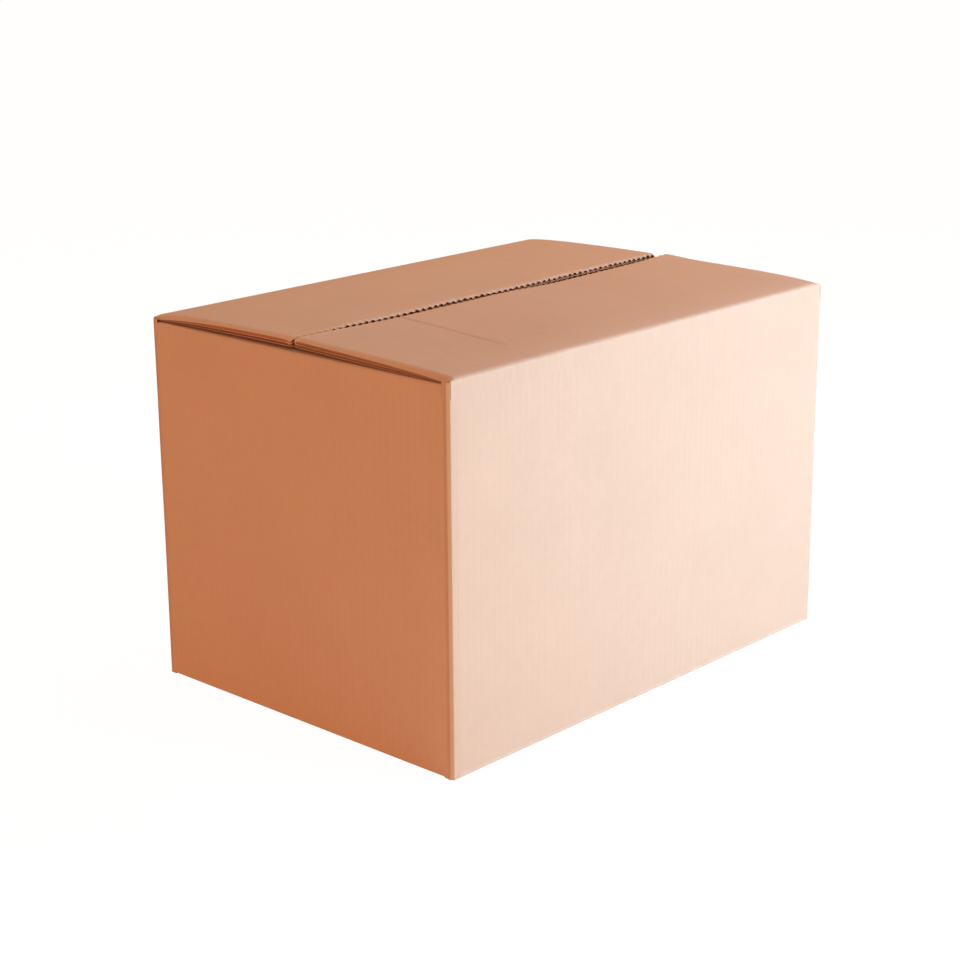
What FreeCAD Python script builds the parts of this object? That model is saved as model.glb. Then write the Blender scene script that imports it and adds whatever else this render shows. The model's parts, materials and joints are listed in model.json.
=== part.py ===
import FreeCAD, Part
import math
import os

# A regular slotted carton of double-wall corrugated board, closed but not taped.
# Millimetres. Origin in the middle of the underside, +X along the long walls,
# +Y from the near long wall to the far one, +Z up.

# Outside of the box, to the fold lines
LENGTH = 402.0
WIDTH = 285.0
HEIGHT = 265.0

# The board: three liners with a coarse wave inside and a fine wave outside
BOARD = 6.5
LINER = 0.35
FINE_FLUTE_HEIGHT = 2.4
FINE_FLUTE_PITCH = 6.2
COARSE_FLUTE_PITCH = 8.4
MEDIUM = 0.3

# Flaps. The outer ones meet in the middle of the width.
INNER_FLAP_DEPTH = 98.0
NEAR_FLAP_RISE = 1.2
FAR_FLAP_RISE = 5.0
SEAM_GAP_LEFT = 0.5
SEAM_GAP_RIGHT = 6.5
BOTTOM_SEAM = 1.2

# Folds, slots and the pressed edges beside them
SLOT = 7.0
WALL_FOLD_RADIUS = 6.0
INNER_CREASE_RADIUS = 1.0
RIM_ROUND = 1.0
END_FOLD_RADIUS = 4.0
FOOT_FOLD_RADIUS = 2.0
SHOULDER = 20.0
SHOULDER_RISE = 3.6
SWELL_AT = 8.4
SWELL_RISE = 2.6
FLAP_SEAT = 2.9
FOLD_DEPTH = 12.0
EDGE_CRUSH = 0.9
EDGE_CRUSH_WIDTH = 3.0

# Glued tab that joins the far wall to the right end wall
TAB_WIDTH = 35.0
TAB_THICKNESS = 4.0
TAB_TRIM = 14.0

# Bottom
END_WALL_LIFT = 0.8
GLUED_LAYER = 6.2
INNER_FLAP_SLOPE = 30.0

# Free play
CLEARANCE = 0.3
SLIT = 1.0

HALF_LENGTH = LENGTH / 2
HALF_WIDTH = WIDTH / 2
RIM = HEIGHT - FOLD_DEPTH
FOOT = END_WALL_LIFT + FOOT_FOLD_RADIUS
FLAP_INSET = SLOT / 2
OUTER_FLAP_DEPTH = HALF_WIDTH - CLEARANCE
INNER_FLAP_TOP = HEIGHT - FLAP_SEAT - CLEARANCE
FLAP_LENGTH = LENGTH - 2 * FLAP_INSET
INNER_FLAP_WIDTH = WIDTH - 2 * (BOARD + SLIT)


def vec(x, y, z):
    return FreeCAD.Vector(x, y, z)


def arc(start, middle, end):
    return Part.Arc(start, middle, end).toShape()


def line(start, end):
    return Part.LineSegment(start, end).toShape()


def outline(points):
    """Closed wire. A point given as a pair of vectors is an arc: (through, end)."""
    edges = []
    here = points[0]
    for item in points[1:] + [points[0]]:
        if isinstance(item, tuple):
            through, end = item
            edges.append(arc(here, through, end))
            here = end
        else:
            edges.append(line(here, item))
            here = item
    return Part.Wire(edges)


def prism(points, direction):
    return Part.Face(outline(points)).extrude(direction)


def block(low, high):
    size = high - low
    return Part.makeBox(size.x, size.y, size.z, low)


def quarter(centre, radius, start_angle, plane):
    """Middle and end of a quarter turn in plane "xz" or "yz", from start_angle in degrees."""
    found = []
    for angle in (start_angle - 45, start_angle - 90):
        across = radius * math.cos(math.radians(angle))
        up = radius * math.sin(math.radians(angle))
        found.append(centre + (vec(across, 0, up) if plane == "xz" else vec(0, across, up)))
    return tuple(found)


def rounded_rectangle(half_x, half_y, radius, z):
    """Face in the plane z with four round corners."""
    box = Part.makeBox(2 * half_x, 2 * half_y, 1, vec(-half_x, -half_y, z))
    upright = [e for e in box.Edges if abs(e.Vertexes[0].Z - e.Vertexes[1].Z) > 0.5]
    rounded = box.makeFillet(radius, upright)
    return [f for f in rounded.Faces if f.BoundBox.ZMax < z + 0.001][0]


def wall_ring(low, high):
    """The four walls between two heights, with three upright folds rounded outside.

    At the fourth corner the far wall runs on to its plain cut end, beside the glued tab.
    """
    reach = vec(0, 0, high - low)
    outside = rounded_rectangle(HALF_LENGTH, HALF_WIDTH, WALL_FOLD_RADIUS, low).extrude(reach)
    cut_end = block(vec(HALF_LENGTH - WALL_FOLD_RADIUS, HALF_WIDTH - WALL_FOLD_RADIUS, low),
                    vec(HALF_LENGTH, HALF_WIDTH, high))
    inside = rounded_rectangle(
        HALF_LENGTH - BOARD, HALF_WIDTH - BOARD, INNER_CREASE_RADIUS, low).extrude(reach)
    return outside.fuse(cut_end).cut(inside)


def void_wire(centre, foot, tip, foot_half, u):
    """One opening in the cut edge, between a liner and the wave: wide at foot, pointed at tip."""
    return Part.makePolygon([
        vec(centre - foot_half, u, foot), vec(centre + foot_half, u, foot),
        vec(centre, u, tip), vec(centre - foot_half, u, foot)])


def flute_voids(length, low, high, pitch, u):
    """The openings of one wavy layer, pointing down and up by turns along the edge."""
    foot_half = pitch / 2 - MEDIUM
    count = int((length - 2 * EDGE_CRUSH_WIDTH) / pitch - 0.5)
    first = -pitch * (count - 0.5) / 2
    wires = []
    for k in range(count):
        x = first + pitch * k
        wires.append(void_wire(x, high, low + MEDIUM, foot_half, u))
        wires.append(void_wire(x + pitch / 2, low, high - MEDIUM, foot_half, u))
    return wires


def board_edge(length, top, u):
    """Face of a cut edge in the plane y = u: three liners, two waves, pressed at both ends."""
    half = length / 2
    press = half - EDGE_CRUSH_WIDTH
    low = top - BOARD
    rim = Part.makePolygon([
        vec(-half, u, low + EDGE_CRUSH), vec(-press, u, low),
        vec(press, u, low), vec(half, u, low + EDGE_CRUSH),
        vec(half, u, top - EDGE_CRUSH), vec(press, u, top),
        vec(-press, u, top), vec(-half, u, top - EDGE_CRUSH),
        vec(-half, u, low + EDGE_CRUSH)])
    fine_low = top - LINER - FINE_FLUTE_HEIGHT
    voids = flute_voids(length, fine_low, top - LINER, FINE_FLUTE_PITCH, u)
    voids += flute_voids(length, low + LINER, fine_low - LINER, COARSE_FLUTE_PITCH, u)
    return Part.makeFace([rim] + voids, "Part::FaceMakerCheese")


def fluted_board(length, start, end, top, rise):
    """Flat board from y = start to y = end, open flutes in both cut edges, climbing by rise."""
    return board_edge(length, top, start).extrude(vec(0, end - start, rise))


def fold_profile(x, crush):
    """Section of an outer flap across its shoulder, thinner by crush on both faces."""
    nose = RIM_ROUND * (1 - math.sqrt(0.5))
    off = CLEARANCE / math.sqrt(2)
    top = SHOULDER_RISE - crush
    seat = SHOULDER_RISE - BOARD + crush
    return outline([
        vec(x, nose + off, -nose + off),
        (vec(x, SWELL_AT, SWELL_RISE - crush), vec(x, SHOULDER, top)),
        vec(x, SHOULDER, seat), vec(x, -seat + 2 * off, seat)])


def outer_flap(rise):
    """Outer top flap in its own frame: fold line along X through the origin, flap along +Y.

    The crease is cut at 45 degrees against the wall, so the flap can swing over the wall.
    The board swells from the crease to its full thickness across the shoulder.
    """
    half = FLAP_LENGTH / 2
    press = half - EDGE_CRUSH_WIDTH
    fold = Part.makeLoft([
        fold_profile(-half, EDGE_CRUSH), fold_profile(-press, 0),
        fold_profile(press, 0), fold_profile(half, EDGE_CRUSH)], True, True)
    board = fluted_board(FLAP_LENGTH, SHOULDER, OUTER_FLAP_DEPTH, SHOULDER_RISE, rise)
    return fold.fuse(board).removeSplitter()


def near_top_flap():
    flap = outer_flap(NEAR_FLAP_RISE)
    flap.translate(vec(0, -HALF_WIDTH, HEIGHT))
    return flap


def far_top_flap():
    """The far flap is cut a little askew, so the seam opens towards the right end."""
    flap = outer_flap(FAR_FLAP_RISE)
    flap.rotate(vec(0, 0, 0), vec(0, 0, 1), 180)
    flap.translate(vec(0, HALF_WIDTH, HEIGHT))
    near_edge = -HALF_WIDTH + OUTER_FLAP_DEPTH
    half = HALF_LENGTH + SLIT
    low = HEIGHT - BOARD
    waste = prism([
        vec(-half, near_edge - BOARD, low), vec(half, near_edge - BOARD, low),
        vec(half, near_edge + SEAM_GAP_RIGHT, low),
        vec(-half, near_edge + SEAM_GAP_LEFT, low)], vec(0, 0, 3 * BOARD))
    return flap.cut(waste)


def long_wall_rim():
    """Top of the near long wall above the ring, cut at 45 degrees under the flap's crease."""
    half = FLAP_LENGTH / 2
    nose = RIM_ROUND * (1 - math.sqrt(0.5))
    face = -HALF_WIDTH
    return prism([
        vec(-half, face, RIM), vec(-half, face, HEIGHT - RIM_ROUND),
        (vec(-half, face + RIM_ROUND * (1 - math.cos(math.pi / 8)),
             HEIGHT - RIM_ROUND * (1 - math.sin(math.pi / 8))),
         vec(-half, face + nose, HEIGHT - nose)),
        vec(-half, face + BOARD, HEIGHT - BOARD),
        vec(-half, face + BOARD, RIM)], vec(FLAP_LENGTH, 0, 0))


def inner_top_flap():
    """Left end wall's fold and the short flap inside it, open flutes in its free edge."""
    half = INNER_FLAP_WIDTH / 2
    face = -HALF_LENGTH
    top = INNER_FLAP_TOP
    low = top - BOARD
    flat = END_FOLD_RADIUS + BOARD
    turn = quarter(vec(face + END_FOLD_RADIUS, -half, top - END_FOLD_RADIUS),
                   END_FOLD_RADIUS, 180, "xz")
    fold = prism([
        vec(face, -half, RIM), vec(face, -half, top - END_FOLD_RADIUS), turn,
        vec(face + flat, -half, top), vec(face + flat, -half, low),
        vec(face + BOARD + SLIT, -half, low), vec(face + BOARD, -half, low - SLIT),
        vec(face + BOARD, -half, RIM)], vec(0, INNER_FLAP_WIDTH, 0))
    board = fluted_board(INNER_FLAP_WIDTH, flat, INNER_FLAP_DEPTH, top, 0)
    board.rotate(vec(0, 0, 0), vec(0, 0, 1), -90)
    board.translate(vec(face, 0, 0))
    return fold.fuse(board)


def outer_bottom_flap():
    """Near long wall's foot and its flap, which carries the box and meets the far one."""
    half = HALF_LENGTH - FLAP_INSET
    face = -HALF_WIDTH
    turn = quarter(vec(-half, face + FOOT_FOLD_RADIUS, FOOT_FOLD_RADIUS),
                   FOOT_FOLD_RADIUS, 270, "yz")
    return prism([
        vec(-half, face + FOOT_FOLD_RADIUS, 0), turn,
        vec(-half, face, FOOT), vec(-half, face + BOARD, FOOT),
        vec(-half, face + BOARD, GLUED_LAYER),
        vec(-half, -BOTTOM_SEAM / 2, GLUED_LAYER),
        vec(-half, -BOTTOM_SEAM / 2, 0)], vec(2 * half, 0, 0))


def inner_bottom_flap():
    """Left end wall's foot and its flap, glued on top of the two outer flaps."""
    half = HALF_WIDTH - BOARD - SLIT
    face = -HALF_LENGTH
    low = END_WALL_LIFT
    seat = face + BOARD + INNER_FLAP_SLOPE
    turn = quarter(vec(face + FOOT_FOLD_RADIUS, -half, low + FOOT_FOLD_RADIUS),
                   FOOT_FOLD_RADIUS, 270, "xz")
    return prism([
        vec(face + FOOT_FOLD_RADIUS, -half, low), turn,
        vec(face, -half, low + BOARD), vec(face + BOARD, -half, low + BOARD),
        vec(seat, -half, GLUED_LAYER + BOARD),
        vec(face + INNER_FLAP_DEPTH, -half, GLUED_LAYER + BOARD),
        vec(face + INNER_FLAP_DEPTH, -half, GLUED_LAYER),
        vec(seat, -half, GLUED_LAYER), vec(face + BOARD, -half, low)], vec(0, 2 * half, 0))


def corner_posts():
    """The four upright folds above the ring, between the slots that free the flaps."""
    ring = wall_ring(RIM, HEIGHT - END_FOLD_RADIUS / 2)
    posts = []
    for side in (-1, 1):
        for end in (-1, 1):
            x = sorted((end * HALF_LENGTH, end * (HALF_LENGTH - FLAP_INSET + CLEARANCE)))
            y = sorted((side * HALF_WIDTH, side * (HALF_WIDTH - BOARD)))
            posts.append(ring.common(block(vec(x[0], y[0], RIM), vec(x[1], y[1], HEIGHT))))
    return posts


def glue_tab():
    """Tab folded from the right end wall and glued to the inside of the far wall."""
    inner_y = HALF_WIDTH - BOARD
    corner_x = HALF_LENGTH - BOARD
    low = GLUED_LAYER + BOARD
    high = RIM - BOARD
    far_x = corner_x - TAB_WIDTH
    return prism([
        vec(corner_x, inner_y, low), vec(corner_x, inner_y, high),
        vec(far_x, inner_y, high - TAB_TRIM), vec(far_x, inner_y, low + TAB_TRIM)],
        vec(0, -TAB_THICKNESS, 0))


def joint_corner():
    """Waste between the tab's fold and the cut end of the far wall."""
    end = HALF_LENGTH
    inner_y = HALF_WIDTH - BOARD
    turn = WALL_FOLD_RADIUS * (1 - math.sqrt(0.5))
    return prism([
        vec(end, inner_y - WALL_FOLD_RADIUS, 0),
        (vec(end - turn, inner_y - turn, 0), vec(end - WALL_FOLD_RADIUS, inner_y, 0)),
        vec(end - SLIT, inner_y, 0), vec(end - SLIT, HALF_WIDTH + SLIT, 0),
        vec(end + SLIT, HALF_WIDTH + SLIT, 0),
        vec(end + SLIT, inner_y - WALL_FOLD_RADIUS, 0)], vec(0, 0, HEIGHT))


def turned(shape):
    """The same piece on the opposite side of the box."""
    copy = shape.copy()
    copy.rotate(vec(0, 0, 0), vec(0, 0, 1), 180)
    return copy


def carton():
    """Walls, bottom and short top flaps: one folded and glued blank."""
    pieces = []
    for piece in (long_wall_rim(), inner_top_flap(), outer_bottom_flap(), inner_bottom_flap()):
        pieces += [piece, turned(piece)]
    pieces += corner_posts()
    pieces.append(glue_tab())
    body = wall_ring(FOOT, RIM).fuse(pieces)
    return body.cut(joint_corner()).removeSplitter()


def main():
    os.makedirs("parts", exist_ok=True)
    nodes = {"carton": carton, "near_top_flap": near_top_flap, "far_top_flap": far_top_flap}
    for name, make in nodes.items():
        shape = make()
        shape.exportStep("parts/" + name + ".step")
        box = shape.BoundBox
        print(name, "solids", len(shape.Solids), "valid", shape.isValid(),
              "volume cm3", round(shape.Volume / 1000, 1),
              "box", [round(v, 2) for v in (box.XMin, box.YMin, box.ZMin, box.XMax, box.YMax, box.ZMax)])


main()
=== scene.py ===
import json
import math

import bpy
import numpy as np
from mathutils import Euler, Matrix, Vector


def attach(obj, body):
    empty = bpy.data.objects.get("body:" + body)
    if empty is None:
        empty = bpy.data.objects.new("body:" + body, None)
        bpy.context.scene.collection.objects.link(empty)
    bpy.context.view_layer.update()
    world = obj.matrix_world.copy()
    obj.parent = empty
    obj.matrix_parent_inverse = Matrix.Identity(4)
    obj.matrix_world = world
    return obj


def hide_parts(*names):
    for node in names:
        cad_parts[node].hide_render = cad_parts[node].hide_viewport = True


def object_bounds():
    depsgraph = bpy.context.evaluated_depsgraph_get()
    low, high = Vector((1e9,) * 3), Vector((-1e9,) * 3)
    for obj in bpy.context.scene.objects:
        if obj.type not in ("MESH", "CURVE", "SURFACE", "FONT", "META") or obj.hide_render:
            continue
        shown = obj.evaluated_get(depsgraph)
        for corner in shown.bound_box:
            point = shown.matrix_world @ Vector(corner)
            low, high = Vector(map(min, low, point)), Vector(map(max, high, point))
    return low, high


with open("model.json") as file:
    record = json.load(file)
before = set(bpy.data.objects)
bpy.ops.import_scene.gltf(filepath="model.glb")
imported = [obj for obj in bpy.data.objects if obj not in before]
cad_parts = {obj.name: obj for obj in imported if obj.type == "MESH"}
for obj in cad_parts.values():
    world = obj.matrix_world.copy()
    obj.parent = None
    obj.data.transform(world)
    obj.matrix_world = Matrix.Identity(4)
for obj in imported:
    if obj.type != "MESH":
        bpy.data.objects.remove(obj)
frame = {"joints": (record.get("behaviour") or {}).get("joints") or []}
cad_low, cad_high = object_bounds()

# The camera: a short telephoto lens about a metre and a half from the box, above its near left
# corner. It dips towards the box, and leans by less than half a degree.
camera_place = (-1.0948, -0.9983, 0.5725)
camera_heading = math.radians(47.119)
camera_dip = math.radians(16.643)
camera_lean = math.radians(-0.443)
camera_data = bpy.data.cameras.new("camera")
camera_data.lens = 78.73
camera_data.sensor_width = 36
camera = bpy.data.objects.new("camera", camera_data)
bpy.context.scene.collection.objects.link(camera)
look = Euler((math.pi / 2 - camera_dip, 0, -camera_heading)).to_matrix().to_4x4()
camera.matrix_world = Matrix.Translation(camera_place) @ look @ Matrix.Rotation(camera_lean, 4, "Z")
bpy.context.scene.camera = camera
bpy.context.scene.view_settings.view_transform = "Standard"

# The walls: one blank of double-wall board, scored and folded upright at three corners. At the
# fourth the right end wall folds on into a tab, glued inside the far wall's plain cut end. The
# board is matt brown kraft paper, which shows its flutes as faint bands and scuffs pale at edges.
mm = 0.001
fine_pitch = 6.2 * mm
board_thick = 6.5 * mm
tab_thick = 4 * mm
half_length = cad_high.x
half_width = cad_high.y
hinges = {joint["name"]: joint["pos_m"] for joint in frame["joints"]}
fold_height = hinges["near_flap_fold"][2]
rim_height = fold_height - 12 * mm
foot_height = 2.8 * mm
corner_foot_height = 0.8 * mm
upright_fold_reach = 6 * mm
inner_fold_radius = 1 * mm
kraft_colour = (0.60, 0.36, 0.235, 1)
# The scuffed colour also paints highlights, and the fleck colour also paints shade.
scuff_and_highlight_colour = (0.74, 0.50, 0.36, 1)
fleck_and_shade_colour = (0.36, 0.18, 0.10, 1)
# The flute paper's own colour, made deeper and redder as painted shade for the flute openings.
flute_colour = (0.52, 0.19, 0.07, 1)


def kraft_paper(name, colour, band_depth):
    """Board surface. Its map runs across the flutes in x and along them in y, in metres."""
    material = bpy.data.materials.new(name)
    material.use_nodes = True
    nodes = material.node_tree.nodes
    links = material.node_tree.links
    paper = nodes["Principled BSDF"]

    def node(kind, **values):
        made = nodes.new(kind)
        for key, value in values.items():
            setattr(made, key, value)
        return made

    def feed(socket, value):
        if isinstance(value, (int, float, tuple)):
            socket.default_value = value
        else:
            links.new(value, socket)

    def math_node(operation, a, b=0.0):
        made = node("ShaderNodeMath", operation=operation)
        feed(made.inputs[0], a)
        feed(made.inputs[1], b)
        return made.outputs[0]

    def noise(source, scale, stretch, detail, rough=0.6):
        mapping = node("ShaderNodeMapping")
        mapping.inputs["Scale"].default_value = stretch
        links.new(source, mapping.inputs["Vector"])
        made = node("ShaderNodeTexNoise")
        made.inputs["Scale"].default_value = scale
        made.inputs["Detail"].default_value = detail
        made.inputs["Roughness"].default_value = rough
        links.new(mapping.outputs[0], made.inputs["Vector"])
        return made.outputs["Fac"]

    def blend_colour(mode, factor, a, b):
        made = node("ShaderNodeMix", data_type="RGBA", blend_type=mode)
        feed(made.inputs[0], factor)
        feed(made.inputs[6], a)
        feed(made.inputs[7], b)
        return made.outputs[2]

    def spread(source, low, high, to_low=0.0, to_high=1.0):
        made = node("ShaderNodeMapRange")
        links.new(source, made.inputs["Value"])
        made.inputs["From Min"].default_value = low
        made.inputs["From Max"].default_value = high
        made.inputs["To Min"].default_value = to_low
        made.inputs["To Max"].default_value = to_high
        return made.outputs[0]

    place = node("ShaderNodeTexCoord").outputs["Object"]
    board = node("ShaderNodeUVMap", uv_map="board").outputs["UV"]
    across = node("ShaderNodeSeparateXYZ")
    links.new(board, across.inputs[0])

    # The papers' make-up: faint flute bands, fibres both ways, cloudy patches and dark flecks.
    band = math_node("SINE", math_node("MULTIPLY", across.outputs["X"], 2 * math.pi / fine_pitch))
    patchy = noise(board, 9, (1, 1, 1), 3)
    band = math_node("MULTIPLY", band, spread(patchy, 0.35, 0.65, 0.25, 1.0))
    fibre_along = noise(board, 1, (2600, 320, 1), 4)
    fibre_across = noise(board, 1, (420, 2100, 1), 4)
    cloud = noise(place, 16, (1, 1, 1), 4, 0.55)
    fine_cloud = noise(place, 120, (1, 1, 1), 5, 0.6)
    flecks = noise(board, 1, (900, 420, 1), 2, 0.5)

    tone = math_node("ADD", math_node("MULTIPLY", band, 0.012), 1.0)
    swings = ((cloud, 0.02), (fine_cloud, 0.02), (fibre_along, 0.025), (fibre_across, 0.018))
    for source, swing in swings:
        tone = math_node("ADD", tone, spread(source, 0.3, 0.7, -swing, swing))
    shade = node("ShaderNodeCombineColor")
    for socket in shade.inputs:
        links.new(tone, socket)
    liner = blend_colour("MULTIPLY", 1.0, colour, shade.outputs[0])
    liner = blend_colour("MIX", spread(flecks, 0.70, 0.78, 0, 0.35), liner, fleck_and_shade_colour)

    # Below nothing this darkens the paper as painted shade; above it, a pale scuff lifts the nap.
    wear = node("ShaderNodeAttribute", attribute_name="wear").outputs["Fac"]
    liner = blend_colour("MIX", spread(wear, 0, -1), liner, fleck_and_shade_colour)
    # Some pale marks are painted highlights on crease lips and flute crests.
    scuff_and_highlight = math_node("MAXIMUM", wear, 0.0)
    scuff_and_highlight_patches = math_node("MULTIPLY", scuff_and_highlight, spread(fine_cloud, 0.36, 0.58, 0.35, 1.0))
    liner = blend_colour("MIX", scuff_and_highlight_patches, liner, scuff_and_highlight_colour)
    links.new(liner, paper.inputs["Base Color"])
    paper.inputs["Specular IOR Level"].default_value = 0.3
    paper.inputs["Sheen Weight"].default_value = 0.12
    paper.inputs["Sheen Roughness"].default_value = 0.6
    links.new(spread(fine_cloud, 0.3, 0.7, 0.72, 0.88), paper.inputs["Roughness"])

    relief = math_node("MULTIPLY", band, band_depth)
    nap = math_node("MULTIPLY", fine_cloud, scuff_and_highlight)
    for source, height in ((fibre_along, 0.035), (fibre_across, 0.03), (nap, 0.5)):
        relief = math_node("ADD", relief, math_node("MULTIPLY", source, height * mm))
    bump = node("ShaderNodeBump")
    bump.inputs["Strength"].default_value = 1.0
    bump.inputs["Distance"].default_value = 1.0
    links.new(relief, bump.inputs["Height"])
    links.new(bump.outputs[0], paper.inputs["Normal"])
    return material


outer_liner = kraft_paper("outer_liner", kraft_colour, 0.005 * mm)
flute_paper = kraft_paper("flute_paper", flute_colour, 0.002 * mm)


def closed_sheet(outer, inner):
    """Corners and faces of the solid between two grids of points, facing outwards."""
    rows, columns = outer.shape[:2]
    points = np.concatenate([outer.reshape(-1, 3), inner.reshape(-1, 3)])
    index = np.arange(rows * columns).reshape(rows, columns)
    under = index + rows * columns
    square = [index[:-1, :-1], index[1:, :-1], index[1:, 1:], index[:-1, 1:]]
    top = np.stack(square, -1).reshape(-1, 4)
    faces = [top, top[:, ::-1] + rows * columns]
    borders = ((index[0], under[0], True), (index[-1], under[-1], False),
               (index[:, 0], under[:, 0], False), (index[:, -1], under[:, -1], True))
    for edge, edge_under, turned in borders:
        side = np.stack([edge[:-1], edge_under[:-1], edge_under[1:], edge[1:]], -1)
        faces.append(side[:, ::-1] if turned else side)
    faces = np.concatenate(faces)
    a, b, c, d = (points[faces[:, k]] for k in range(4))
    volume = (a * np.cross(b, c)).sum() + (a * np.cross(c, d)).sum()
    return points, faces[:, ::-1] if volume < 0 else faces


def board_piece(name, body, sheets):
    """One mesh of closed sheets, each given as (outer, inner, across, along, wear, is_flute)."""
    points, faces, maps, surface_marks, kinds = [], [], [], [], []
    count = 0
    for outer, inner, across, along, wear, is_flute in sheets:
        corners, quads = closed_sheet(outer, inner)
        points.append(corners)
        faces.append(quads + count)
        count += len(corners)
        shape = outer.shape[:2]
        grid = np.stack([np.broadcast_to(across, shape), np.broadcast_to(along, shape)], -1)
        maps += [grid.reshape(-1, 2)] * 2
        surface_marks += [np.broadcast_to(wear, shape).reshape(-1)] * 2
        kinds.append(np.full(len(quads), int(is_flute)))
    points, faces, maps = np.concatenate(points), np.concatenate(faces), np.concatenate(maps)
    mesh = bpy.data.meshes.new(name)
    mesh.from_pydata(points.tolist(), [], faces.tolist())
    layer = mesh.uv_layers.new(name="board")
    layer.data.foreach_set("uv", maps[faces.reshape(-1)].astype(np.float32).reshape(-1))
    wear_and_light_layer = mesh.attributes.new("wear", "FLOAT", "POINT")
    wear_and_light_layer.data.foreach_set("value", np.concatenate(surface_marks).astype(np.float32))
    mesh.materials.append(outer_liner)
    mesh.materials.append(flute_paper)
    mesh.polygons.foreach_set("material_index", np.concatenate(kinds).astype(np.int32))
    mesh.polygons.foreach_set("use_smooth", [True] * len(mesh.polygons))
    mesh.set_sharp_from_angle(angle=math.radians(38))
    piece = bpy.data.objects.new(name, mesh)
    bpy.context.scene.collection.objects.link(piece)
    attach(piece, body)
    return piece


# From the inside out, as shares of the board's thickness. The second and fourth are flutes.
paper_shares = ((0, .055), (.055, .50), (.50, .555), (.555, .945), (.945, 1))
half_flute_share = .042
hair_gap_share = .004


def board_sheets(outer, inner, across, along, wear, waves=None):
    """The board's five papers between two grids. Flutes are waved, or else plain filling."""
    shape = outer.shape[:2]
    sheets = []
    for number, (low, high) in enumerate(paper_shares):
        is_flute = number in (1, 3)
        if is_flute and waves is not None:
            swing = (high - low) / 2 - half_flute_share
            crest = (low + high) / 2 + swing * waves[number // 2]
            low, high = crest - half_flute_share, crest + half_flute_share
        elif is_flute:
            low, high = low + hair_gap_share, high - hair_gap_share
        top, under = (inner + (outer - inner) * np.broadcast_to(share, shape)[..., None]
                      for share in (high, low))
        sheets.append((top, under, across, along, 0 if is_flute else wear, is_flute))
    return sheets


def thinned(sheet, kept):
    """The same paper, with only some of the points along its flutes."""
    top, under, across, along, wear, is_flute = sheet
    if not is_flute:
        wear = wear[:, kept]
    return top[:, kept], under[:, kept], across, along[:, kept], wear, is_flute


def hump(distance, width):
    """A soft hill: 1 where distance is nothing, and next to nothing past twice the width."""
    return np.exp(-(distance / width) ** 2)


def wander(x, y, z, seed):
    """A smooth, slow unevenness between about -1 and 1."""
    turns = np.random.default_rng(seed).uniform(0, 2 * math.pi, 9)
    total = 0
    for k, length in enumerate((0.42, 0.23, 0.13)):
        rate = 2 * math.pi / length
        total = total + np.sin(rate * x + turns[k]) * np.sin(rate * y * 0.9 + turns[k + 3])
        total = total + np.sin(rate * z * 1.1 + turns[k + 6] + rate * x * 0.3) * 0.5
    return total / 3


def inward_way(outer, inner):
    """The direction through the board at each station of a run."""
    into = inner - outer
    return into / np.linalg.norm(into, axis=1)[:, None]


def flat_run(start, end, inward, folded, thick=board_thick):
    """Outer and inner points of a straight wall. folded says which of its ends meets a fold."""
    start, end, inward = (np.array(v, float) for v in (start, end, inward))
    length = np.linalg.norm(end - start)
    station_step = 5 * mm
    groove_width, groove_depth = 0.9 * mm, 0.25 * mm
    beside_fold = np.array((0.5, 1.0, 1.6, 2.4, 3.6)) * mm
    even = np.linspace(0, length, round(length / station_step))
    at = np.concatenate([even, beside_fold, length - beside_fold])
    at = np.unique(np.round(at, 6))
    groove = folded[0] * hump(at, groove_width) + folded[1] * hump(length - at, groove_width)
    line = start + np.outer(at / length, end - start)
    return line + np.outer(groove * groove_depth, inward), line + thick * inward


# How far an upright fold takes in the end wall and the long wall, as shares of a 6 mm fold.
end_wall_share, long_wall_share = 0.52, 0.36


def corner_run(corner, first, thick=board_thick):
    """Outer and inner points round an upright fold, pressed to a flat between two soft edges."""
    corner = np.array(corner)
    turn = math.radians(first)
    ahead = np.array((-math.sin(turn), math.cos(turn)))
    behind = -np.array((math.cos(turn), math.sin(turn)))
    shares = np.array((end_wall_share, long_wall_share))
    if first % 180:
        shares = shares[::-1]
    edge_share = 0.55
    edge_start, edge_middle, edge_end = np.array(((6, 0), (5, 0), (4.2, 0.8)))
    flat_middle = np.array((2.5, 2.5))
    outer = []
    for share in np.linspace(0, 1, 15)[1:-1]:
        half = min(share, 1 - share) * 2
        bend = min(half / edge_share, 1.0)
        at = (1 - bend) ** 2 * edge_start + 2 * bend * (1 - bend) * edge_middle + bend ** 2 * edge_end
        at = at + max(half - edge_share, 0) / (1 - edge_share) * (flat_middle - at)
        back, aside = (at if share <= 0.5 else at[::-1]) * shares * mm
        outer.append(corner - ahead * back + behind * aside)
    away_turn = np.radians(first + np.linspace(0, 90, 15)[1:-1])
    away = np.stack([np.cos(away_turn), np.sin(away_turn)], -1)
    inner = corner - (thick + inner_fold_radius) * np.sign(corner) + inner_fold_radius * away
    return np.array(outer), inner


r = upright_fold_reach
near_y, far_y, left_x, right_x = -half_width, half_width, -half_length, half_length
tab_y = far_y - board_thick
tab_length = 35 * mm
wall_runs = (
    flat_run((right_x - 1 * mm, far_y), (left_x + r, far_y), (0, -1), (0, 1)),
    corner_run((left_x, far_y), 90),
    flat_run((left_x, far_y - r), (left_x, near_y + r), (1, 0), (1, 1)),
    corner_run((left_x, near_y), 180),
    flat_run((left_x + r, near_y), (right_x - r, near_y), (0, 1), (1, 1)),
    corner_run((right_x, near_y), 270),
    flat_run((right_x, near_y + r), (right_x, tab_y - r), (-1, 0), (1, 1)),
    corner_run((right_x, tab_y), 0, tab_thick),
    flat_run((right_x - r, tab_y), (right_x - tab_length, tab_y), (0, -1), (1, 0), tab_thick),
)
wall_outer = np.concatenate([run[0] for run in wall_runs])
wall_inner = np.concatenate([run[1] for run in wall_runs])
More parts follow.
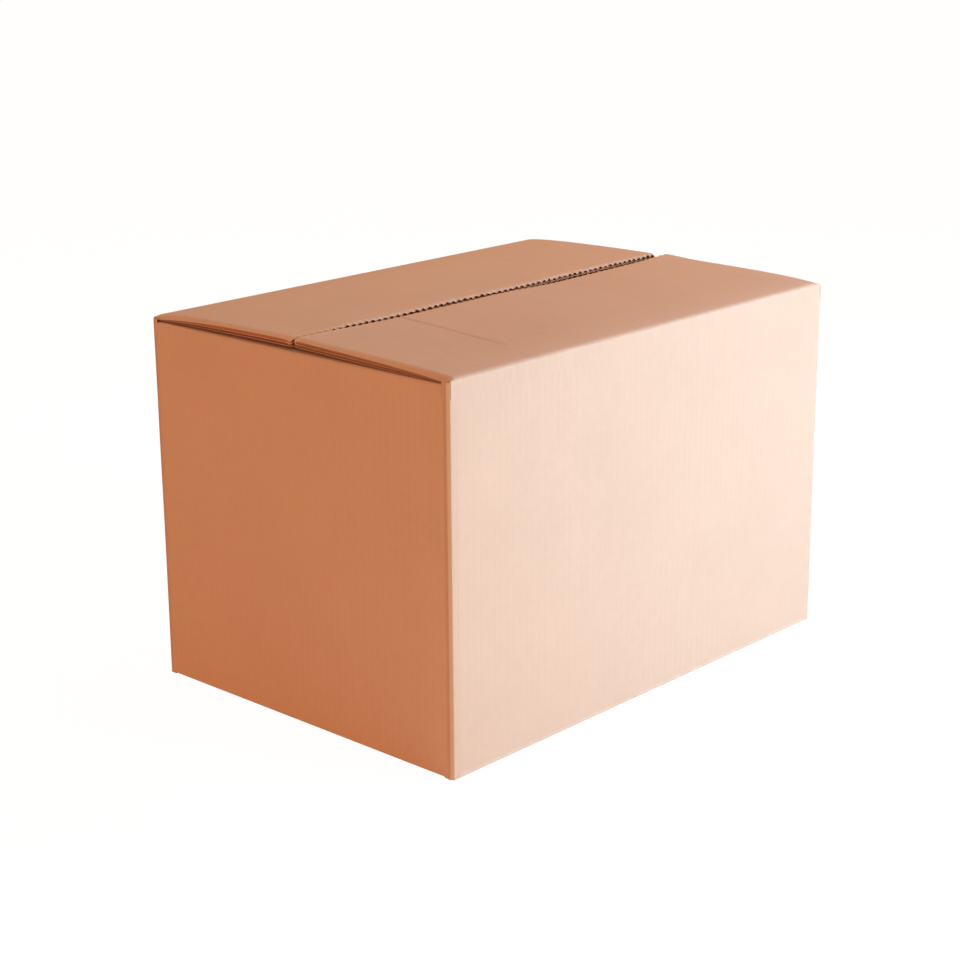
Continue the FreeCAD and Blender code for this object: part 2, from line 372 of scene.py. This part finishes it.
wall_steps = np.linalg.norm(np.diff(wall_outer, axis=0), axis=1)
wall_across = np.concatenate([[0], np.cumsum(wall_steps)])


def stand_up(outer, inner, heights):
    """Grids of points above a run of stations, hollowed a little between its top and its foot."""
    rise = np.broadcast_to(heights[None, :], (len(outer), len(heights)))
    into = inward_way(outer, inner)
    way_up = np.clip((rise - foot_height) / (rim_height - foot_height), 0, 1)
    uneven = np.maximum(1 + wander(outer[:, :1], outer[:, 1:], rise, 3), 0)
    hollow = uneven * 0.22 * mm * np.sin(np.pi * way_up)
    grids = []
    for line in (outer, inner):
        flat = line[:, None, :] + into[:, None, :] * hollow[..., None]
        grids.append(np.concatenate([flat, rise[..., None]], -1))
    return grids


levels = np.concatenate([[foot_height, 3.3 * mm], np.linspace(6 * mm, rim_height, 35)])
outer_grid, inner_grid = stand_up(wall_outer, wall_inner, levels)
from_end_wall = half_length - np.abs(wall_outer[:, 0])
from_long_wall = half_width - np.abs(wall_outer[:, 1])
at_corner = (from_end_wall < 6.1 * mm) & (from_long_wall < 7.1 * mm)
for grid in (outer_grid, inner_grid):
    grid[at_corner, 0, 2] = corner_foot_height
at_fold = hump(from_end_wall, 4 * mm) * hump(from_long_wall, 4 * mm)
on_end_wall = np.abs(wall_outer[:, 0]) > 200 * mm
# Painted shade: a dark line down each end wall beside the upright fold's soft edge.
painted_fold_shade = hump(from_long_wall - 2.8 * mm, 0.8 * mm) * on_end_wall
fold_wear_and_shade = at_fold[:, None] * (0.05 + 0.4 * hump(levels, 12 * mm)[None, :])
fold_wear_and_shade = fold_wear_and_shade - 0.4 * painted_fold_shade[:, None]
wall_sheets = board_sheets(outer_grid, inner_grid, wall_across[:, None], levels[None, :], fold_wear_and_shade)
cut_end_recess = 1.2 * mm
few_levels = np.arange(0, len(levels), 4)
for flute in (1, 3):
    for grid in wall_sheets[flute][:2]:
        grid[0, :, 0] -= cut_end_recess
    wall_sheets[flute] = thinned(wall_sheets[flute], few_levels)
walls = board_piece("walls", "carton", wall_sheets)
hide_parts("carton")

# The stubs of the walls' corners, left standing between the slots that free the top flaps.
# They are the outer paper of the same board, cut off just under the flaps with a soft top edge.
stub_thick = 2.2 * mm
stub_levels = np.array((0, 4, 8, 10.2, 10.6, 10.9, 11.1, 11.2)) * mm + rim_height
stub_rounding = np.array((0, 0, 0, 0, .1, .3, .6, 1.0)) * mm
is_stub = (from_end_wall <= 3.6 * mm) & (np.abs(wall_outer[:, 1]) >= 136.4 * mm)
is_stub &= (wall_outer[:, 0] < right_x - 0.5 * mm) | (wall_outer[:, 1] < 0)
breaks = np.flatnonzero(np.diff(np.concatenate([[0], is_stub.astype(int), [0]])))
for number, (first, last) in enumerate(zip(breaks[::2], breaks[1::2])):
    stub_outer = wall_outer[first:last]
    into = inward_way(stub_outer, wall_inner[first:last])
    grids = stand_up(stub_outer, stub_outer + into * stub_thick, stub_levels)
    grids[0][..., :2] += into[:, None, :] * stub_rounding[None, :, None]
    # The stubs carry the same painted shade line.
    stub_wear_and_shade = 0.05 - 0.4 * painted_fold_shade[first:last, None]
    stub = board_sheets(*grids, wall_across[first:last, None], stub_levels[None, :], stub_wear_and_shade)
    board_piece(f"corner_stub_{number}", "carton", stub[4:])

# The long walls' top edges, where the outer flaps fold off them. Each is cut on the slant under the
# fold and faced with liner, so that the flap's own slant closes on it, and parts as the flap opens.
slot_half = 2.4 * mm
slant_face_thick, slant_face_room = 0.3 * mm, 0.36 * mm
flap_half = half_length - slot_half
rim_x = np.linspace(-flap_half, flap_half, 121)
rim_outer_path = np.array([(0, -12), (0, -9), (0, -6), (0, -4), (0, -2.4), (0, -1.4),
                           (.04, -.8), (.14, -.5), (.3, -.3)]) * mm
rim_inner_path = np.array([(6.5, -12 + 5.5 * k / 8) for k in range(9)]) * mm


def slant_face(outer_edge, inner_edge):
    """Points across a slanted cut edge, between the outer and the inner liner."""
    steps = [inner_edge + (outer_edge - inner_edge) * share for share in (.06, .35, .65, .94)]
    return np.stack(steps, 1)


for name, side in (("near", -1), ("far", 1)):
    grids = []
    for path in (rim_outer_path, rim_inner_path):
        grid = np.zeros((len(rim_x), len(path), 3))
        grid[..., 0] = rim_x[:, None]
        grid[..., 1] = side * (half_width - path[None, :, 0])
        grid[..., 2] = fold_height + path[None, :, 1]
        grids.append(grid)
    tip_wear = 0.05 * hump(flap_half - np.abs(rim_x), 3 * mm)[:, None]
    rim_wear = tip_wear + 0.2 * hump(rim_outer_path[None, :, 1], 1.2 * mm)
    rim = board_sheets(*grids, rim_x[:, None], grids[0][..., 2], rim_wear)
    face = slant_face(grids[0][:, -1], grids[1][:, -1])
    for sheet in rim[1:4]:
        for grid in sheet[:2]:
            grid[:, -1, 2] -= slant_face_room
    face_under = face - (0, 0, slant_face_thick)
    rim.append((face, face_under, rim_x[:, None], face[..., 2], 0.1, False))
    board_piece(f"{name}_wall_rim", "carton", rim)

# The short top flaps fold off the end walls and lie flat just under the outer flaps, reaching
# a quarter of the way in from each end. They are folded first, and only open after the outer flaps.
coarse_pitch = 8.4 * mm
seat_height = fold_height - 3.2 * mm
flap_fold_radius = 2 * mm
short_flap_reach = 98 * mm
quarter = np.radians(np.linspace(0, 90, 7))
end_outer_path = [(0, rim_height), (0, rim_height + 2 * mm)]
end_outer_path += [(flap_fold_radius * (1 - math.cos(t)),
                    seat_height - flap_fold_radius * (1 - math.sin(t))) for t in quarter]
end_outer_path += [(d * mm, seat_height) for d in (6, 9, 14, 22, 34, 50, 66, 80, 90, 95, 97, 98)]
end_inner_path = [(board_thick, rim_height), (board_thick, rim_height + 0.7 * mm)]
end_inner_path += [(board_thick + inner_fold_radius * (1 - math.cos(t)),
                    seat_height - board_thick - inner_fold_radius * (1 - math.sin(t)))
                   for t in quarter]
end_inner_path += [(d * mm, seat_height - board_thick)
                   for d in (9, 11, 15, 22, 34, 50, 66, 80, 90, 95, 97, 98)]
end_outer_path, end_inner_path = np.array(end_outer_path), np.array(end_inner_path)
end_steps = np.linalg.norm(np.diff(end_outer_path, axis=0), axis=1)
end_along = rim_height + np.concatenate([[0], np.cumsum(end_steps)])[None, :]
end_y = np.linspace(-135.45 * mm, 135.45 * mm, 301)
root_spread, taper = 1.0073, 0.02


def wave(position, pitch, seed):
    """The flute's swing between -1 and 1 along the board, with small slips in its spacing."""
    slip = np.random.default_rng(seed).uniform(0, 2 * math.pi, 2)
    drift = 0.35 * np.sin(position * 61 + slip[0]) + 0.25 * np.sin(position * 23 + slip[1])
    return np.sin(2 * math.pi * position / pitch + drift)[:, None]


end_waves = [wave(end_y, coarse_pitch, 5), wave(end_y, fine_pitch, 6)]
end_wear = 0.25 * hump(end_outer_path[:, 0] - 3 * mm, 2 * mm)[None, :]
for name, side in (("left", -1), ("right", 1)):
    grids = []
    for path in (end_outer_path, end_inner_path):
        way_in = np.clip(path[None, :, 0] / short_flap_reach, 0, 1)
        grid = np.zeros((len(end_y), len(path), 3))
        grid[..., 0] = side * (half_length - path[None, :, 0])
        grid[..., 1] = end_y[:, None] * (root_spread - taper * way_in)
        grid[..., 2] = path[None, :, 1]
        grids.append(grid)
    flap = board_sheets(*grids, end_y[:, None], end_along, end_wear, end_waves)
    board_piece(f"{name}_short_flap", "carton", flap)

# The floor of the box: short bottom flaps folded in first, then the long ones glued flat over them,
# meeting along the middle. The folds are pressed tight, so the box stands level.
foot = np.radians(np.linspace(0, 90, 6))
foot_curve = [(2 - 2 * math.cos(t), 2 - 2 * math.sin(t)) for t in foot]
long_outer = [(0, 2.8)] + foot_curve + [(d, 0) for d in (8, 40, 90, 135, 141.9)]
long_inner = [(6.5 + .2 * k, 7.2 - .2 * k) for k in range(7)]
long_inner += [(d, 6.2) for d in (11, 41, 91, 135, 141.9)]
short_outer = [(0, 2.85)] + [(across, up + .8) for across, up in foot_curve]
short_outer += [(3.2, .8), (3.4, 6.2), (40, 6.2), (97, 6.2), (98, 6.2)]
short_inner = [(6.5 + .2 * k, 13.7 - .2 * k) for k in range(7)]
short_inner += [(d, 12.7) for d in (8, 12, 41, 97, 98)]
long_half_span, short_half_span = 195.3 * mm, 135.5 * mm
for name, side, paths in (
        ("near", -1, (long_outer, long_inner)),
        ("far", 1, (long_outer, long_inner)),
        ("left", -1, (short_outer, short_inner)),
        ("right", 1, (short_outer, short_inner))):
    is_long = name in ("near", "far")
    half_span = long_half_span if is_long else short_half_span
    half_depth = half_width if is_long else half_length
    run_axis, depth_axis = (0, 1) if is_long else (1, 0)
    run = np.linspace(-half_span, half_span, 80)
    grids = []
    for path in np.array(paths):
        grid = np.zeros((len(run), len(path), 3))
        grid[..., run_axis] = run[:, None]
        grid[..., depth_axis] = side * (half_depth - path[None, :, 0] * mm)
        grid[..., 2] = path[None, :, 1] * mm
        grids.append(grid)
    way_in = np.array(paths[0])[None, :, 0]
    surface_marks = 0.12 + 0.3 * hump(way_in - 1, 3)
    panel = board_sheets(*grids, run[:, None], way_in * mm, surface_marks)
    board_piece(f"{name}_bottom_flap", "carton", panel)

# The two outer top flaps close the box without tape. Each is pinched thin along its fold, swells to
# the board's full 6.5 mm, and lies over the short flaps. The near one is slightly warped. The far
# one is sprung up a little and cut askew, so that the seam opens towards the right.
flap_x = np.linspace(-flap_half, flap_half, 560)
from_end = (flap_half - np.abs(flap_x))[:, None] / mm
from_left = (flap_x[:, None] + flap_half) / mm
flap_span = 395
pinch_start, cut_depth = .3, 142.2
inner_start = 2.9
depths = np.array((
    pinch_start, .55, 1, 1.6, 2.4, 3.5, 5, 7, 10, 14, 20, 28, 38, 50, 62, 74, 86, 98, 110, 120,
    128, 133, 136.5, 139, 140.3, 141, 141.4, 141.7, 141.95, cut_depth))
few_depths = np.concatenate([np.arange(0, 24, 3), np.arange(24, len(depths))])
deep = depths[None, :]
from_cut = cut_depth - deep
way_in = (deep - pinch_start) / (cut_depth - pinch_start)
corner_radius = 3.0
into_corner = corner_radius - np.minimum(from_end, corner_radius)
corner_cut = corner_radius - np.sqrt(np.maximum(corner_radius ** 2 - into_corner ** 2, 0))
pinched_rise, full_rise = .8, 3.2
top_rise = (pinched_rise * (1 - np.exp(-(deep - pinch_start) / 1.1))
            + (full_rise - pinched_rise) * (1 - np.exp(-deep / 22))
            - .2 * np.exp(-(deep - pinch_start) / .5))
end_droop = hump(from_end, 2.6)
squeeze = np.minimum(1, deep / 5) * (end_droop * (1.7 + 1.8 * hump(deep, 55)) + .25 * hump(from_cut, 2))
flute_recess = 0.5 * mm

# Each lift and cut is a row of (mm from the left end, mm): how much higher than level the cut edge
# lies there, and how much shorter the flap is.
flap_kinds = {
    "near": dict(
        body="near_flap", node="near_top_flap", side=-1, seed=11,
        climb=1.2, roll=.6, slant=0, mark=108,
        lift=((0, 1.4), (25, 1.3), (52, .5), (99, -.4), (149, -.1), (201, .3), (256, -1.2),
              (315, -.5), (351, 0), (395, .6)),
        cut=((0, 0), (395, 0))),
    "far": dict(
        body="far_flap", node="far_top_flap", side=1, seed=23,
        climb=5.0, roll=.9, slant=10, mark=62,
        lift=((0, -2.7), (25, -3.1), (53, -2.3), (101, -3.1), (152, -2.1), (205, -2.5),
              (261, -2.2), (321, -1.6), (395, -1.3)),
        cut=((0, 0), (40, 1.3), (100, 2.4), (200, 3.2), (300, 3.5), (395, 3.6))),
}


def eased(rows):
    """The values of such rows all along the flap, with their turns softened."""
    at, by = np.array(rows).T
    drawn = np.pad(np.interp(from_left[:, 0], at, by), 30, mode="edge")
    return np.convolve(drawn, np.hanning(61) / np.hanning(61).sum(), "valid")[:, None]


for name, kind in flap_kinds.items():
    side, seed = kind["side"], kind["seed"]
    lift, cut = eased(kind["lift"]), eased(kind["cut"])
    waves = [wave(flap_x, coarse_pitch, seed), wave(flap_x, fine_pitch, seed + 1)]
    tatter = np.random.default_rng(seed).normal(0, 1, len(flap_x))
    tatter = np.convolve(tatter, np.hanning(7) / 3, "same")[:, None]
    ripple = -kind["roll"] * hump(from_cut, .7) * (1 - .8 * waves[1] + .45 * tatter)
    ripple = ripple + .12 * hump(from_cut, 3) * (waves[1] - 1)
    uneven = wander(flap_x[:, None], deep * mm, 0 * flap_x[:, None], seed)
    uneven = uneven * .35 * np.sin(np.pi * way_in)
    bow = (lift * way_in ** 1.6 + uneven) * np.minimum(1, deep / 12)

    # Pale scuffs along the cut edge and the fold; painted shade at the ends and in one short line.
    # Along the cut edge, painted highlights on the flute crests and painted shade in the dips.
    wear = .06 - .16 * hump(from_end, 2.2) + (-.08 + .22 * waves[1]) * hump(from_cut, .9)
    wear = wear + .12 * hump(from_cut, 6) + .12 * hump(deep, 3)
    # The short line is painted shade for a faint crease near the right short flap's edge.
    wear = wear - .3 * hump(from_left - 300, .8) * hump(deep - kind["mark"], 24)

    # The near flap has a faint slanting crease over the short flap's edge, a curled right corner,
    # and a paler patch by the seam at its left end.
    crease = 0
    if name == "near":
        crease_line = 97.5 - 13 * (142 - deep) / 110
        past_crease = crease_line - from_left
        crease_fade = np.clip((deep - 26) / 16, 0, 1)
        crease = -.45 * crease_fade * hump(past_crease, .8) + .14 * hump(past_crease - 2.2, 1.3)
        bow = bow + .9 * hump(flap_span - from_left, 24) * hump(from_cut, 18)
        # Painted shade in the crease, and a painted highlight on its lip beside it.
        wear = wear + (.5 * hump(past_crease - 1.6, .9) - .75 * hump(past_crease, .8)) * crease_fade
        wear = wear + .55 * hump(from_cut - 3, 2.2) * hump(from_left - 28, 26)

    edge_depth = cut_depth - cut - corner_cut
    outer_depth = pinch_start + way_in * (edge_depth - pinch_start)
    inner_depth = inner_start + way_in * (edge_depth - inner_start)
    climb = kind["climb"] * way_in
    outer_rise = top_rise + climb + bow + ripple + crease - squeeze * .9
    inner_rise = -inner_start + climb + np.maximum(bow, -.25 - .6 * climb) + squeeze * .1
    grids = []
    for depth, rise in ((outer_depth, outer_rise), (inner_depth, inner_rise)):
        slant = kind["slant"] * depth / cut_depth * (from_left / flap_span) ** 3
        grid = np.zeros((len(flap_x), len(depths), 3))
        grid[..., 0] = flap_x[:, None] - slant * mm
        grid[..., 1] = side * (half_width - depth * mm)
        grid[..., 2] = fold_height + rise * mm
        grids.append(grid)
    sheets = board_sheets(*grids, flap_x[:, None], fold_height + deep * mm, wear, waves)

    # Liner faces the slanted edge at the fold. The papers between the liners stop just behind it.
    face = slant_face(grids[0][:, 0], grids[1][:, 0])
    face_under = face - (0, side * slant_face_thick, 0)
    for sheet in sheets[1:4]:
        for grid in sheet[:2]:
            grid[:, 0, 1] -= side * slant_face_room
    face_sheet = (face, face_under, flap_x[:, None], np.array([[fold_height]]), 0.1, False)

    inner_liner, coarse_flute, middle_liner, fine_flute = (
        thinned(sheet, few_depths) for sheet in sheets[:4])
    liners = [inner_liner, middle_liner, sheets[4], face_sheet]
    flap = board_piece(f"{name}_outer_flap", kind["body"], liners)
    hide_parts(kind["node"])
    for flute in (coarse_flute, fine_flute):
        for grid in flute[:2]:
            grid[:, -1, 1] += side * flute_recess
    board_piece(f"{name}_outer_flap_flutes", kind["body"], [coarse_flute, fine_flute])

# A plain white ground, so that the box stands as it does in the picture. It is matt, glows a little
# where the camera sees it, and so keeps a faint shadow.
ground_radius, ground_height = 40, -0.0002
ground_mesh = bpy.data.meshes.new("ground")
turns = np.linspace(0, 2 * math.pi, 65)[:-1]
rim_points = [(ground_radius * math.cos(t), ground_radius * math.sin(t), ground_height) for t in turns]
ground_mesh.from_pydata(rim_points, [], [tuple(range(len(turns)))])
ground = bpy.data.objects.new("ground", ground_mesh)
bpy.context.scene.collection.objects.link(ground)
ground_material = bpy.data.materials.new("ground")
ground_material.use_nodes = True
nodes, links = ground_material.node_tree.nodes, ground_material.node_tree.links
matt = nodes["Principled BSDF"]
matt.inputs["Base Color"].default_value = (0.80, 0.75, 0.68, 1)
matt.inputs["Roughness"].default_value = 0.9
matt.inputs["Specular IOR Level"].default_value = 0.0
seen = nodes.new("ShaderNodeLightPath")
glow = nodes.new("ShaderNodeEmission")
glow.inputs["Strength"].default_value = 1.07
glowing = nodes.new("ShaderNodeMixShader")
glowing.inputs[0].default_value = 0.9
links.new(matt.outputs[0], glowing.inputs[1])
links.new(glow.outputs[0], glowing.inputs[2])
pick = nodes.new("ShaderNodeMixShader")
links.new(seen.outputs["Is Camera Ray"], pick.inputs[0])
links.new(matt.outputs[0], pick.inputs[1])
links.new(glowing.outputs[0], pick.inputs[2])
links.new(pick.outputs[0], nodes["Material Output"].inputs["Surface"])
ground_mesh.materials.append(ground_material)

# Light: a cool window low at the front almost bleaches the long wall, with a small warm bounce near
# its foot. A broad warm light from the left fills the shaded end, and the room itself is warm. A
# large ceiling lamp on the right and a small cool one behind light the top.
for name, place, aim, width, height, power, colour in (
        ("window", (0.42, -1.2, 0.30), (0.05, -0.14, 0.13), 0.7, 0.35, 27.5, (0.375, 0.67, 1.0)),
        ("warm_bounce", (-0.28, -0.85, 0.06), (-0.1, -0.14, 0.10), 0.3, 0.2, 1.0, (0.9, 0.66, 0.05)),
        ("sky", (-0.15, 1.1, 0.9), (-0.05, 0.05, 0.27), 0.5, 0.5, 1.8, (0.5, 0.72, 1.0)),
        ("ceiling", (0.9, -0.2, 1.1), (0.0, 0.0, 0.27), 0.9, 0.9, 6.4, (1.0, 0.94, 0.88))):
    lamp_data = bpy.data.lights.new(name, "AREA")
    lamp_data.shape = "RECTANGLE"
    lamp_data.size = width
    lamp_data.size_y = height
    lamp_data.energy = power
    lamp_data.color = colour
    lamp = bpy.data.objects.new(name, lamp_data)
    lamp.location = place
    lamp.rotation_euler = (Vector(place) - Vector(aim)).to_track_quat("Z", "Y").to_euler()
    bpy.context.scene.collection.objects.link(lamp)
left_light_data = bpy.data.lights.new("left_light", "SUN")
left_light_data.energy = 1.7
left_light_data.color = (1.0, 0.40, 0.22)
left_light_data.angle = math.radians(60)
left_light = bpy.data.objects.new("left_light", left_light_data)
left_light.rotation_euler = Vector((-1.0, 0.15, 0.1)).to_track_quat("Z", "Y").to_euler()
bpy.context.scene.collection.objects.link(left_light)
world = bpy.data.worlds.new("world")
world.use_nodes = True
bpy.context.scene.world = world
nodes, links = world.node_tree.nodes, world.node_tree.links
room = nodes["Background"]
room.inputs["Color"].default_value = (1.0, 0.66, 0.38, 1)
room.inputs["Strength"].default_value = 0.5
white = nodes.new("ShaderNodeBackground")
white.inputs["Color"].default_value = (1, 1, 1, 1)
seen = nodes.new("ShaderNodeLightPath")
choose = nodes.new("ShaderNodeMixShader")
links.new(seen.outputs["Is Camera Ray"], choose.inputs[0])
links.new(room.outputs[0], choose.inputs[1])
links.new(white.outputs[0], choose.inputs[2])
links.new(choose.outputs[0], nodes["World Output"].inputs["Surface"])
